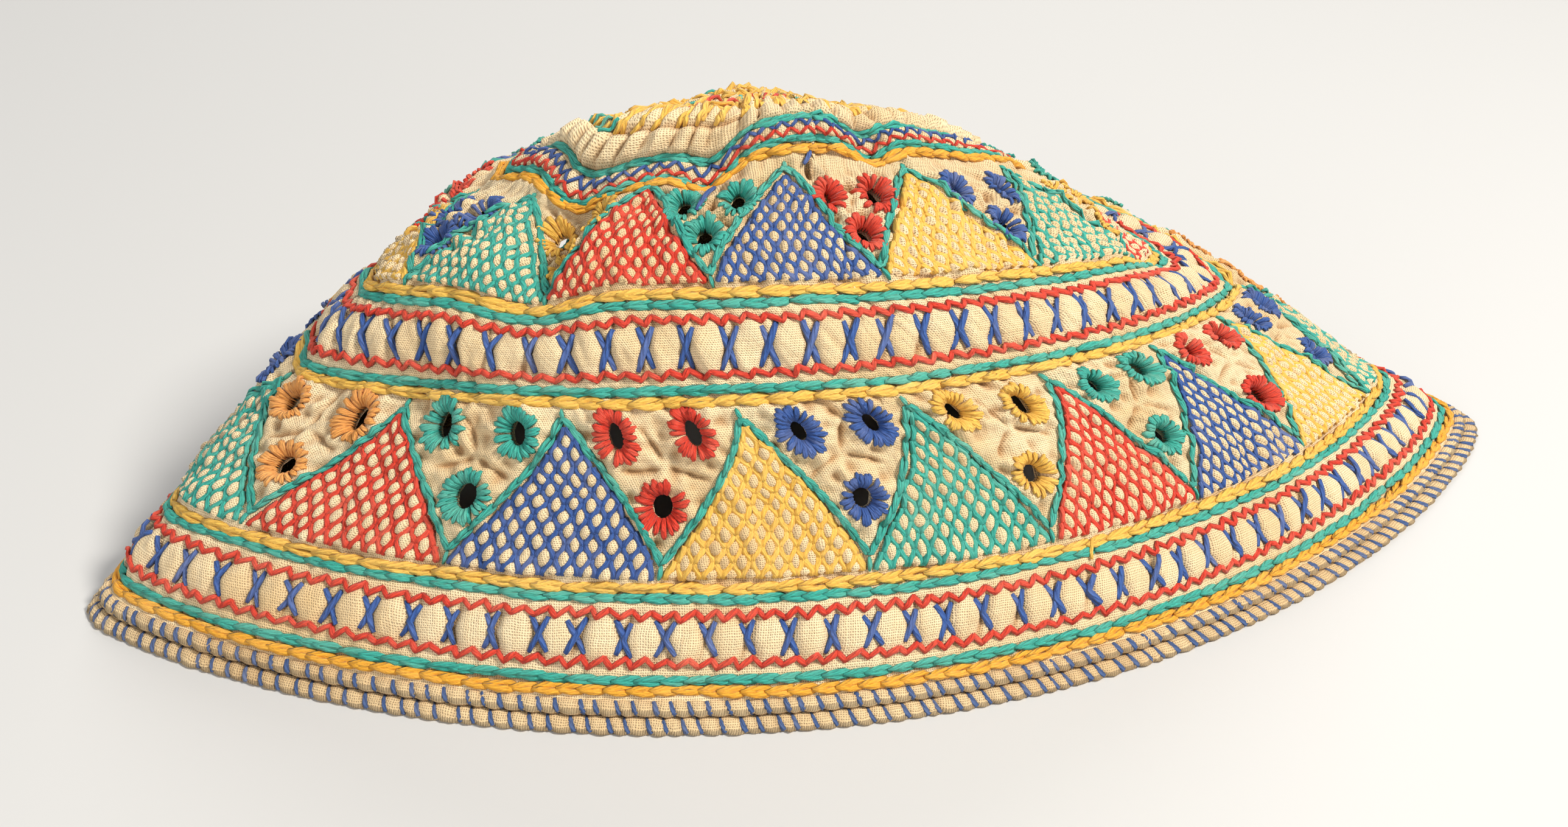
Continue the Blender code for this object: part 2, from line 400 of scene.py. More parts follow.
def lattice_place(triangles, around, up):
    """Places in the two directions of a triangle's net, in cells, and if inside it."""
    unit = around * triangles.units
    aside = (unit - np.round(unit)) / NET_WIDTH
    rise = (up - triangles.base) / net_height(triangles)
    row = np.floor(rise * triangles.cells)
    bent = row + net_bend(rise * triangles.cells - row)
    p = (0.5 + aside) * triangles.cells - bent / 2
    q = (0.5 - aside) * triangles.cells - bent / 2
    return p, q, (p > 0) & (q > 0) & (rise > 0)


def lattice_relief(around, up):
    """A tuft of cloth in each cell of the nets."""
    height = np.zeros_like(up)
    size = TUFT_HEIGHT + 0.3 * noise(around * 300, up / 2.2, 23, 300)
    right, higher = net_wander(around, up)
    around, up = shifted(around, up, -right, -higher)
    for triangles in TRIANGLES:
        p, q, inside = lattice_place(triangles, around, up)
        tuft = np.abs(np.sin(pi * p) * np.sin(pi * q))
        tuft = np.clip((tuft - 0.22) / 0.78, 0, 1) ** 0.55
        height += np.where(inside, size * tuft, 0.0)
    return height


def eyelet_relief(around, up):
    """The padded rings round the holes, with puckers that run out from them."""
    height = np.zeros_like(up)
    for number, eyelet in enumerate(EYELETS):
        right, higher = from_place(eyelet, around, up)
        near = np.hypot(right, higher) < 9.5
        right = right[near]
        higher = higher[near]
        angle = np.arctan2(higher, right)
        oval = np.hypot(right / eyelet.hole_wide, higher / eyelet.hole_tall)
        away = np.hypot(right, higher) * (1 - 1 / np.maximum(oval, 1e-6))
        ridge = 0.75 * np.exp(-(((away - 0.9 * eyelet.reach) / 1.3) ** 2))
        dip = -0.6 * np.exp(-((np.maximum(away, 0) / 0.7) ** 2))
        pucker = np.cos(7 * angle + number) + 0.7 * np.cos(11 * angle - 2 * number)
        pucker *= 0.4 * np.exp(-(((away - eyelet.reach - 1.2) / 1.4) ** 2))
        height[near] += ridge + dip + pucker
    return height


def crease_relief(around, up):
    """Three short creases in each gap between triangles, out between its eyelets."""
    draw = np.random.default_rng(14)
    height = np.zeros_like(up)
    for row, triangles in zip(EYELET_ROWS, TRIANGLES):
        for unit in range(triangles.units):
            middle = 0.4 * row.low_up + 0.6 * row.high_up + draw.uniform(-1, 1)
            place = (unit + 0.5 + draw.uniform(-0.04, 0.04)) / triangles.units
            right, higher = from_place(Place(place, middle), around, up)
            near = np.hypot(right, higher) < 9.0
            right = right[near]
            higher = higher[near]
            for degrees in (90, 205, 335):
                angle = radians(degrees + draw.uniform(-18, 18))
                along = right * np.cos(angle) + higher * np.sin(angle)
                across = higher * np.cos(angle) - right * np.sin(angle)
                across = across + 0.06 * draw.uniform(-1, 1) * along**2
                reach = bump(along, 0.0, 7.0 * row.size, 1.8)
                valley = -0.85 * np.exp(-((across / 0.45) ** 2))
                ridge = 0.4 * np.exp(-(((across - 1.2) / 0.8) ** 2))
                height[near] += (valley + ridge) * reach
    return height


def line_puckers(around, up):
    """Ridges that run away from the sewn borders, where the chains gather the cloth."""
    height = np.zeros_like(up)
    for line, count, side in ((54.3, 96, -1), (102.0, 74, -1), (71.5, 84, 1), (20.3, 130, 1)):
        away = side * (up - line)
        fade = np.exp(-np.maximum(away, 0) / 3.5) * (away > 0) * np.clip(away, 0, 1)
        height += PUCKER_HEIGHT * noise(around * count, 0.15 * up, int(line), count) * fade
    for band in BANDS:
        ridges = np.abs(np.sin(pi * around * 2 * band.crosses)) ** 0.6
        for level in (band.low_zigzag - 1.3, band.high_zigzag + 1.3):
            height += 0.4 * ridges * np.exp(-(((up - level) / 0.8) ** 2))
    return height


def crown_relief(around, up):
    """Puffs of the thin band, then the pleats and the wrapped rows round the crown."""
    turn = around * THIN_BAND_CELLS - 0.5
    rise = (up - THIN_BAND_MIDDLE) / 4.0
    small = 0.75 * np.abs(np.sin(pi * (turn + rise)) * np.sin(pi * (turn - rise))) ** 0.5
    small *= bump(up, CROWN_START + 0.5, PLEATS_START - 0.9, 0.5)
    sway = 0.004 * noise(around * 30, up / 6.0, 24, 30)
    long = puffs(around + sway, PLEATS, 0.45) * bump(up, PLEATS_START, PLEATS_END, 1.0)
    lower = puffs(around, PLEATS, 0.5) * bump(up, PLEATS_END, WRAPPED_MIDDLE, 1.0)
    upper = puffs(around, WRAPS, 0.5) * bump(up, WRAPPED_MIDDLE, WRAPPED_END, 1.0)
    centre = puffs(around, ROSETTE, 0.5) * bump(up, 132.0, 144.0, 2.5)
    height = small + PLEAT_HEIGHT * long + LOW_WRAP_HEIGHT * lower
    return height + HIGH_WRAP_HEIGHT * upper + ROSETTE_HEIGHT * centre


def wrinkles(around, up):
    """Rumpled cloth: soft dents, small creases and fine ones that run up and down."""
    broad = noise(around * 90, up / 6.0, 3, 90) * 0.5
    fine = noise(around * 230, up / 2.3, 5, 230) * 0.32
    crinkle = noise(around * 420, up / 4.5, 6, 420)
    return broad + fine + 0.2 * crinkle


SEWN_LINES = (*TEAL_LINES, *YELLOW_LINES, *GOLD_LINES, 104.0, 109.6, 130.0)


def line_grooves(up):
    depth = np.zeros_like(up)
    for line in SEWN_LINES:
        depth += GROOVE_DEPTH * np.exp(-(((up - line) / 0.9) ** 2))
    return depth


def relief(around, up, nets=True):
    """Height of the quilted cloth over its smooth face."""
    around, up = (part.copy() for part in np.broadcast_arrays(around, up))
    height = band_relief(around, up) + crown_relief(around, up)
    if nets:
        height = height + lattice_relief(around, up)
    height = height + eyelet_relief(around, up) + crease_relief(around, up)
    height = height + line_puckers(around, up) + wrinkles(around, up) - line_grooves(up)
    fade = np.clip((up - WALL_START) / 1.2, 0, 1)
    return height * fade


def hollows(height):
    """How far each point of a grid lies below its neighbours, from 0 to 1."""
    near = np.zeros_like(height)
    steps = range(-3, 4)
    for above in steps:
        for aside in steps:
            near += np.roll(height, (above, aside), axis=(0, 1)) / len(steps) ** 2
    return np.clip((near - height) / SOIL_AND_SHADE_DEPTH, 0, 1)


# Meshes

def mesh_object(name, points, faces, uv, soil_and_shade=None):
    """A smooth shaded mesh in metres, pressed flat where it rests on the floor."""
    points[:, 2] = np.maximum(points[:, 2], 0.0)
    mesh = bpy.data.meshes.new(name)
    mesh.from_pydata((points * MM).tolist(), [], faces)
    layer = mesh.uv_layers.new(name="cloth")
    layer.data.foreach_set("uv", uv.astype(np.float32).ravel())
    if soil_and_shade is not None:
        layer = mesh.attributes.new("soil_and_shade", "FLOAT", "POINT")
        layer.data.foreach_set("value", soil_and_shade.astype(np.float32).ravel())
    mesh.shade_smooth()
    item = bpy.data.objects.new(name, mesh)
    bpy.context.scene.collection.objects.link(item)
    return item


def dress(item, material, nodes=()):
    """Gives a piece its finish, hangs it on the root body and hides the model parts it stands for."""
    item.data.materials.append(material)
    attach(item, "root")
    if nodes:
        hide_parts(*nodes)


def columns(front, back):
    """Places round the cap: front of them on its front half, back on the other."""
    left = np.linspace(0.0, 0.5, front, endpoint=False)
    right = np.linspace(0.5, 1.0, back, endpoint=False)
    return np.concatenate([left, right])


# The cap's length round at the level of each section
GIRTHS = (578, 500, 410, 320, 235, 185, 98, 4)


def cloth_uv(around, up):
    """Millimetres along the cloth, measured from the middle of its side."""
    turn = np.interp(up, [section.up for section in SECTIONS], GIRTHS)
    middle = np.where(np.mod(around, 1.0) < 0.5, 0.25, 0.75)
    return (np.mod(around, 1.0) - middle) * turn, up


def grid_quads(rows, count, closed=True):
    """The corners of each face of a grid that closes along its rows, and over them if closed."""
    steps = rows if closed else rows - 1
    row, column = np.meshgrid(np.arange(steps), np.arange(count), indexing="ij")
    beside = (column + 1) % count
    above = (row + 1) % rows
    return np.stack([
        row * count + column, row * count + beside,
        above * count + beside, above * count + column,
    ], axis=-1).reshape(-1, 4)


def corner_places(across, above, corners):
    """The place on the flat cloth of each corner of each face."""
    return np.stack([across.ravel()[corners], above.ravel()[corners]], axis=-1)


# Grid points this near a hole's edge, as shares of its size, are moved onto it
HOLE_INSIDE = 0.65
HOLE_NEAR = 1.3


def open_holes(around, up):
    """Moves grid points near a hole's edge onto it, and says which lie inside a hole."""
    inside = np.zeros(around.shape, bool)
    for eyelet in EYELETS:
        right, higher = from_place(eyelet, around, up)
        reach = np.hypot(right / eyelet.hole_wide, higher / eyelet.hole_tall)
        edge = (reach > HOLE_INSIDE) & (reach < HOLE_NEAR)
        turn, step = eyelet_scale(eyelet)
        around[edge] = eyelet.around + right[edge] / reach[edge] / turn
        up[edge] = eyelet.up + higher[edge] / reach[edge] / step
        inside |= reach < HOLE_INSIDE
    return inside


# Levels of the rows of points, close together where the nets are. Those of the
# inner face lie at the holes and their edges.
LOWER_OUTER = [
    *np.arange(CLOTH_START, 21.0, 0.68),
    *np.arange(21.0, 52.4, 0.45),
    *np.linspace(52.4, CLOTH_SPLIT, 6),
]
LOWER_INNER = [CLOTH_START, 20.0, 33.0, 35.0, 37.0, 46.8, 48.8, 50.8, CLOTH_SPLIT]
UPPER_OUTER = [
    *np.arange(CLOTH_SPLIT, 72.4, 0.62),
    *np.arange(72.4, 98.5, 0.45),
    *np.linspace(98.5, CROWN_START, 10),
]
UPPER_INNER = [CLOTH_SPLIT, 70.0, 80.2, 82.0, 83.8, 89.2, 91.0, 92.8, CROWN_START]


def cloth_wall(name, front, back, outer, inner):
    """A closed double-faced hoop of cloth with its relief on the outer face."""
    around, up = (part.copy() for part in np.meshgrid(columns(front, back), outer + inner[::-1]))
    inside = open_holes(around, up)
    is_outer = (np.arange(len(up)) < len(outer))[:, None]
    height = relief(around, up)
    # Soil and painted shade: the outer face is darkened in its hollows, where dirt gathers and shade
    # falls
    soil_and_shade = np.where(is_outer, hollows(height), 0.0)
    points, _ = cloth_frame(around, up, np.where(is_outer, height, -WALL))
    corners = grid_quads(*up.shape)
    corners = corners[~inside.ravel()[corners].any(axis=1)]
    used = np.unique(corners)
    renumber = np.full(up.size, -1)
    renumber[used] = np.arange(len(used))
    uv = corner_places(*cloth_uv(around, up), corners)
    faces = renumber[corners].tolist()
    return mesh_object(name, points.reshape(-1, 3)[used], faces, uv, soil_and_shade.ravel()[used])


def crown_cloth(name, count, outer_rows, inner_rows):
    """The gathered top: both faces run in to the centre and close there."""
    around = np.linspace(0.0, 1.0, count, endpoint=False)
    inner = np.linspace(CROWN_CLOSES, CROWN_START, inner_rows)
    outer = np.linspace(CROWN_START, CROWN_CLOSES, outer_rows)
    around, up = np.meshgrid(around, np.concatenate([inner, outer]))
    is_outer = (np.arange(len(up)) >= inner_rows)[:, None]
    height = relief(around, up)
    # Soil and painted shade: the outer face is darkened in its hollows, where dirt gathers and shade
    # falls
    soil_and_shade = np.where(is_outer, hollows(height), 0.0)
    points, _ = cloth_frame(around, up, np.where(is_outer, height, -WALL))
    rows = len(up)
    corners = grid_quads(rows, count, closed=False)
    uv = corner_places(*cloth_uv(around, up), corners).reshape(-1, 2)
    faces = corners.tolist()
    faces.append(list(range(count))[::-1])
    faces.append([(rows - 1) * count + step for step in range(count)])
    caps = np.zeros((2 * count, 2))
    return mesh_object(name, points.reshape(-1, 3), faces, np.concatenate([uv, caps]), soil_and_shade)


# Threads

def tubes(name, points, facing, wide, tall, sides):
    """Round or flattened threads: one tube for each row of points."""
    count, length = points.shape[:2]
    along = unit_vectors(np.gradient(points, axis=1))
    side = unit_vectors(np.cross(facing, along))
    above = np.cross(along, side)
    wide = np.broadcast_to(wide, (count, length))
    tall = np.broadcast_to(tall, (count, length))
    turn = 2 * pi * np.arange(sides) / sides
    reach_side = (wide / 2)[..., None] * np.cos(turn)
    reach_up = (tall / 2)[..., None] * np.sin(turn)
    rings = points[:, :, None] + side[:, :, None] * reach_side[..., None]
    rings = rings + above[:, :, None] * reach_up[..., None]
    shape = (count, length - 1, sides)
    strand, place, corner = np.meshgrid(*(np.arange(size) for size in shape), indexing="ij")
    first = (strand * length + place) * sides
    following = (corner + 1) % sides
    quads = np.stack([
        first + corner, first + following,
        first + sides + following, first + sides + corner,
    ], axis=-1).reshape(-1, 4)
    travelled = np.zeros((count, length))
    travelled[:, 1:] = np.cumsum(np.linalg.norm(np.diff(points, axis=1), axis=-1), axis=1)
    start_mm = np.take_along_axis(travelled, place.reshape(count, -1), axis=1).reshape(shape)
    end_mm = np.take_along_axis(travelled, place.reshape(count, -1) + 1, axis=1).reshape(shape)
    low = corner / sides
    high = (corner + 1) / sides
    uv = np.stack([
        np.stack([start_mm, low], -1), np.stack([start_mm, high], -1),
        np.stack([end_mm, high], -1), np.stack([end_mm, low], -1),
    ], axis=-2).reshape(-1, 2)
    heads = (np.arange(count) * length * sides)[:, None] + np.arange(sides)[::-1]
    tails = heads[:, ::-1] + (length - 1) * sides
    faces = quads.tolist() + heads.tolist() + tails.tolist()
    cap_uv = np.zeros((2 * count * sides, 2))
    return mesh_object(name, rings.reshape(-1, 3), faces, np.concatenate([uv, cap_uv]))


def stitches(name, around, up, lift, wide, tall, sides=5, nets=True):
    """Threads that lie on the cloth at rows of places, lift above its relief."""
    draw = np.random.default_rng(len(around))
    points, facing = cloth_frame(around, up, relief(around, up, nets) + lift)
    wide = wide * draw.uniform(0.86, 1.14, (len(around), 1))
    return tubes(name, points, facing, wide, tall, sides)


def taper(length, ends=0.55):
    """Thread thickness along a stitch, thinner where it dives into the cloth."""
    share = np.linspace(0, 1, length)
    return ends + (1 - ends) * np.sin(pi * share) ** 0.5


def arch(length):
    """Rise of a stitch between the two places where it dives into the cloth."""
    return np.sin(pi * np.linspace(0, 1, length)) ** 0.6


LINK_STEPS = 8


def resampled(around, up, pitch):
    """Evenly spaced places along a path, LINK_STEPS for each link of pitch millimetres."""
    points = smooth_cloth(around, up)
    travelled = np.concatenate([[0], np.cumsum(np.linalg.norm(np.diff(points, axis=0), axis=1))])
    links = max(int(round(travelled[-1] / pitch)), 1)
    fine = np.linspace(0, travelled[-1], links * LINK_STEPS + 1)
    return np.interp(fine, travelled, around), np.interp(fine, travelled, up), links


# A loop of chain stitch: how far each place along it lies aside and above
LOOP_SHARE = np.array([0.0, 0.25, 0.5, 0.78, 1.0])
LOOP_ASIDE = np.array([0.05, 0.5, 0.95, 1.0, 0.4])
LOOP_LIFT = np.array([0.62, 0.55, 0.4, 0.22, 0.05])
LOOP_THICK = np.array([0.55, 0.95, 1.1, 1.05, 0.6])


def chain(around, up, pitch=3.5, half_width=0.36, seed=1):
    """Strands of a chain stitch along a path: around, up and lift for each."""
    path_around, path_up, links = resampled(around, up, pitch)
    turn, step = mm_per_unit(path_around, path_up)
    right = np.gradient(path_around) * turn
    higher = np.gradient(path_up) * step
    size = np.hypot(right, higher)
    right, higher = right / size, higher / size
    draw = np.random.default_rng(seed)
    start = np.arange(links)[:, None] * LINK_STEPS + draw.uniform(-1.0, 1.0, (links, 1))
    place = start + LOOP_SHARE * draw.uniform(10.0, 12.0, (links, 1))
    grid = np.arange(len(path_around))
    rows = []
    for sign in (-1, 1):
        link = [np.interp(place, grid, part) for part in (path_around, path_up, right, higher)]
        aside = sign * half_width * LOOP_ASIDE * draw.uniform(0.8, 1.2, (links, 1))
        aside = aside + draw.uniform(-0.1, 0.1, (links, 1))
        strand = shifted(link[0], link[1], -link[3] * aside, link[2] * aside)
        lift = LOOP_LIFT + draw.uniform(-0.08, 0.1, (links, 1))
        rows.append((*strand, lift))
    return joined(rows)


def joined(parts):
    """Rows of around, up and lift, each put together from several parts."""
    return [np.concatenate([part[index] for part in parts]) for index in range(3)]


def level_line(up, seed):
    """A path round the cap at one level, with the small wander of hand sewing."""
    around = np.linspace(0, 1, 1200)
    return around, up + 0.25 * noise(around * 40, np.zeros_like(around) + up, seed, 40)


def triangle_outline(triangles, rounding):
    """The zigzag path over the tops of a row of triangles, with rounded tops."""
    around = (np.linspace(0, triangles.units, 2400) - 0.5) / triangles.units
    unit = around * triangles.units
    fall = 2 * np.abs(unit - np.round(unit))
    rounded = np.sqrt(fall**2 + rounding**2) - rounding
    rounded = rounded / (np.sqrt(1 + rounding**2) - rounding)
    up = triangles.apex - (triangles.apex - triangles.valley) * rounded
    return around, up + 0.2 * noise(around * 60 + 60, np.zeros_like(around), 21, 60)


def line_chains(levels, wander, seed, **shape):
    """Chains round the cap at some levels, each with random draws of its own."""
    return [chain(*level_line(up, wander + number), seed=seed + number, **shape)
            for number, up in enumerate(levels)]


def sew(name, rows, wide, tall, color, materials, **how):
    """Stitches at rows of around, up and lift, as one piece in one color of thread."""
    piece = stitches(name, *rows, wide, tall, **how)
    dress(piece, materials[color])


def sew_chain_lines(materials):
    teal = line_chains(TEAL_LINES, 31, 0)
    yellow = line_chains(YELLOW_LINES, 41, 10, pitch=4.0, half_width=0.46)
    gold = line_chains(GOLD_LINES, 51, 20, half_width=0.42)
    thin = line_chains(CROWN_TEAL_LINES, 61, 30, pitch=3.1, half_width=0.34)
    outlines = [chain(*triangle_outline(row, round_top), pitch=2.7, half_width=0.25,
                      seed=40 + row.units)
                for row, round_top in zip(TRIANGLES, (0.02, 0.15))]
    for name, parts, color, wide in (
        ("teal_border_chains", teal, "teal", 1.0),
        ("yellow_border_chains", yellow, "yellow", 1.12),
        ("gold_border_chains", gold, "gold", 1.1),
        ("teal_crown_chains", thin, "teal", 0.9),
        ("teal_triangle_outlines", outlines, "teal", 0.72),
    ):
        thickness = wide * LOOP_THICK
        sew(name, joined(parts), thickness, 0.7 * thickness, color, materials)


def sew_outline_tails(materials):
    """Short single stitches at the points of each triangle outline."""
    around = []
    up = []
    for triangles in TRIANGLES:
        unit = np.arange(triangles.units)
        for middle, level, reach in ((0.5, triangles.valley, -2.2), (0.0, triangles.apex, 1.6)):
            start = (unit + middle) / triangles.units
            around.append(np.repeat(start[:, None], 4, axis=1))
            up.append(level + np.linspace(0, reach, 4)[None, :] + 0 * start[:, None])
    rows = np.concatenate(around), np.concatenate(up), 0.35 * arch(4) + 0.1
    sew("teal_outline_tails", rows, 0.8 * taper(4), 0.7, "teal", materials)


def zigzag(level, first, second, count, draw):
    """Stitches that go round the cap count times from first to second above a level."""
    corners = 2 * count
    peak = np.where(np.arange(corners + 1) % 2, second, first)
    peak = level + peak + draw.uniform(-0.22, 0.22, corners + 1)
    peak[-1] = peak[0]
    place = (np.arange(corners + 1) + draw.uniform(-0.16, 0.16, corners + 1)) / corners
    place[-1] = place[0] + 1
    share = np.linspace(-0.06, 1.06, 4)
    around = place[:-1, None] + np.diff(place)[:, None] * share
    up = peak[:-1, None] + np.diff(peak)[:, None] * share
    return around, up, np.broadcast_to(0.1 + 0.3 * arch(4), around.shape)


def sew_zigzags(materials):
    """Red zigzags along both edges of a band, whose inner points meet its crosses."""
    draw = np.random.default_rng(5)
    rows = []
    for band in BANDS:
        rows.append(zigzag(band.low_zigzag, -0.6, 0.6, 2 * band.crosses, draw))
        rows.append(zigzag(band.high_zigzag, 0.6, -0.6, 2 * band.crosses, draw))
    sew("red_zigzags", joined(rows), 0.98 * taper(4, 0.85), 0.75, "red", materials)


def sew_crosses(materials):
    """Blue crosses in the bands; some stitches are bowed and only touch in the middle."""
    draw = np.random.default_rng(6)
    rows = []
    share = np.linspace(0, 1, 7)
    for number, band in enumerate(BANDS):
        middle = np.arange(band.crosses) / band.crosses
        middle = middle + draw.uniform(-0.06, 0.06, band.crosses) / band.crosses
        low = band.low_zigzag + 0.75
        high = band.high_zigzag - 0.75
        half = draw.uniform(1.0, 1.5, band.crosses)[:, None]
        kind = draw.uniform(0, 1, band.crosses)[:, None]
        for sign in (-1, 1):
            bowed = (kind < 0.3) | ((kind < 0.5) & (sign > 0))
            straight = sign * (2 * share - 1)[None, :] * half
            bow = sign * np.abs(2 * share - 1)[None, :] ** 1.2 * half
            aside = np.where(bowed, bow, straight) + draw.uniform(-0.2, 0.2, (band.crosses, 1))
            start = draw.uniform(-0.1, 0.5, (band.crosses, 1))
            end = draw.uniform(-0.1, 0.5, (band.crosses, 1))
            up = low + start + (high - end - low - start) * share[None, :]
            around = middle[:, None] + square_to_band(number, middle[:, None], up)
            around, up = shifted(around, up, aside, 0.0)
            lift = 0.1 + 0.3 * arch(7) + (0.35 if sign > 0 else 0.0) * arch(7) ** 3
            rows.append((around, up, np.broadcast_to(lift, around.shape)))
    sew("blue_crosses", joined(rows), 1.08 * taper(7, 0.8), 0.75, "blue", materials)


def net_legs(triangles, unit):
    """The threads of one triangle's net: rows that zigzag and touch the rows below."""
    rows = triangles.cells
    row_height = net_height(triangles) / rows
    legs = []
    for row in range(rows):
        peak = triangles.base + (rows - row) * row_height
        valley = peak - row_height
        for cell in range(row + 1):
            middle = (cell - row / 2) / rows
            for side in (-1, 1):
                foot = NET_WIDTH * (middle + 0.5 * side / rows)
                legs.append((
                    unit + NET_WIDTH * middle + NODE_GAP * side, peak,
                    unit + foot - NODE_GAP * side, valley,
                ))
    legs = np.array(legs)
    legs[:, 0::2] /= triangles.units
    return legs


def sew_lattices(materials):
    """The nets of thread in the triangles, one piece for each color."""
    share = np.linspace(-0.05, 1.05, 5)
    for color in ("teal", "red", "blue", "yellow"):
        legs = np.concatenate([
            net_legs(triangles, unit)
            for triangles in TRIANGLES for unit in range(triangles.units)
            if triangles.colors[unit % 4] == color
        ])
        around = legs[:, 0:1] + (legs[:, 2:3] - legs[:, 0:1]) * net_bend(share)
        up = legs[:, 1:2] + (legs[:, 3:4] - legs[:, 1:2]) * share
        around, up = shifted(around, up, *net_wander(around, up))
        wide = (1.4 if color == "yellow" else 1.1) * taper(5, 0.9)
        rows = around, up, 0.25 + 0.12 * arch(5)
        sew(color + "_lattice", rows, wide, 0.85, color, materials, sides=4, nets=False)


def sew_eyelets(materials):
    """Buttonhole stitches round each hole, which turn down into it."""
    draw = np.random.default_rng(9)
    inward = np.array([0.0, 0.15, 0.55, 1.0, 1.0])
    for color in ("orange", "yellow", "teal", "red", "blue"):
        around, up, lift = [], [], []
        for eyelet in (one for one in EYELETS if one.color == color):
            turn, step = eyelet_scale(eyelet)
            girth = pi * (eyelet.hole_wide + eyelet.hole_tall + eyelet.reach)
            count = int(girth / 0.56)
            angle = 2 * pi * (np.arange(count) + draw.uniform(-0.35, 0.35, count)) / count
            reach = eyelet.reach * draw.uniform(0.78, 1.12, count)
            for one_angle, far in zip(angle, reach):
                if draw.uniform() < 0.07:
                    continue
                wide = eyelet.hole_wide * 1.08 + far * (1 - inward)
                tall = eyelet.hole_tall * 1.05 + far * (1 - inward)
                lean = one_angle + draw.uniform(-0.1, 0.1) * (1 - inward)
                around.append(eyelet.around + np.cos(lean) * wide / turn)
                up.append(eyelet.up + np.sin(lean) * tall / step)
                lift.append(np.array([-0.1, 0.25, 0.45, 0.15, -1.6]) + draw.uniform(0, 0.25))
        rows = np.array(around), np.array(up), np.array(lift)
        width = np.array([0.55, 0.92, 0.82, 0.64, 0.5])
        sew(color + "_eyelets", rows, width, 0.6, color, materials)


def roll_cloth(name, bottom, node, materials):
    """A rolled edge drawn into uneven puffs by the overcast stitches."""
    steps = 6
    around = columns(SCALLOPS * steps // 2, SCALLOPS * steps - SCALLOPS * steps // 2)
    turn = np.linspace(0, 2 * pi, 10, endpoint=False)
    around, turn = np.meshgrid(around, turn)
    lean = HEM_LEAN * np.sin(turn) / SCALLOPS
    puff = puffs(around + lean, SCALLOP_CREASES, 0.5)
    rumple = noise(around * 700, turn, 86 + int(bottom), 700)
    thick = ROLL_HEIGHT / 2 * (0.85 + 0.25 * puff)
    out = np.sign(np.cos(turn)) * np.abs(np.cos(turn)) ** 0.7
    reach = np.where(out > 0, 0.75 + 0.75 * puff + 0.16 * rumple, 1.45)
    up = np.maximum(bottom + ROLL_HEIGHT / 2 + thick * np.sin(turn), 0.0)
    proud = -0.55 + reach * out
    points, _ = cloth_frame(around, up, proud)
    corners = grid_quads(*up.shape)
    across, _ = cloth_uv(around, up)
    girth = np.linspace(0, ROLL_GIRTH, len(up))[:, None] + 0 * up
    uv = corner_places(across, girth, corners)
    # Soil and painted shade: the roll is darkened in the creases between its puffs
    soil_and_shade = np.clip(1.1 - 1.2 * puff, 0, 1)
    piece = mesh_object(name, points.reshape(-1, 3), corners.tolist(), uv, soil_and_shade)
    dress(piece, materials["hem"], (node,))


def sew_hem(materials):
    """Slanted overcast stitches in the creases between the scallops."""
    draw = np.random.default_rng(12)
    turn = np.linspace(-0.6, 0.5, 6) * pi
    points = []
    facings = []
    for bottom in (0.0, ROLL_HEIGHT + ROLL_GAP):
        for crease in SCALLOP_CREASES:
            place = crease - (HEM_LEAN * np.sin(turn) + draw.uniform(-0.08, 0.08)) / SCALLOPS
            up = np.maximum(bottom + ROLL_HEIGHT / 2 + 1.0 * np.sin(turn), 0.25)
            point, facing = cloth_frame(place, up, -0.55 + 1.15 * np.cos(turn))
            points.append(point)
            facings.append(facing)
    wide = 1.0 * taper(6, 0.5) * draw.uniform(0.8, 1.15, (len(points), 1))
    piece = tubes("hem_overcast", np.array(points), np.array(facings), wide, 0.55, 5)
    dress(piece, materials["hem_blue"])


def ring_stitches(name, places, low, high, lean, color, materials, wide=0.85):
    """A round of stitches at places of the crown, from one level to another; lean is in mm."""
    draw = np.random.default_rng(int(10 * low) + len(places))
    share = np.linspace(0, 1, 6)
    count = len(places)
    start = low + draw.uniform(-0.5, 0.5, (count, 1))
    end = high + draw.uniform(-0.5, 0.5, (count, 1))
    up = start + (end - start) * share[None, :]
    aside = (share[None, :] - 0.5) * lean + draw.uniform(-0.25, 0.25, (count, 1))
    around, up = shifted(places[:, None] + 0 * up, up, aside, 0.0)
    rows = around, up, 0.1 + 0.4 * arch(6)
    sew(name, rows, wide * taper(6, 0.6), 0.7 * wide, color, materials)


def sew_thin_band(materials):
    """The narrow net of red and blue stitches round the crown's foot."""
    draw = np.random.default_rng(7)
    for name, far, color in (("thin_band_red", -1.9, "red"), ("thin_band_blue", 1.9, "blue")):
        near = 0.1 if far > 0 else -0.1
        rows = zigzag(THIN_BAND_MIDDLE, far, near, THIN_BAND_CELLS, draw)
        sew(name, rows, 0.62 * taper(4, 0.8), 0.55, color, materials)


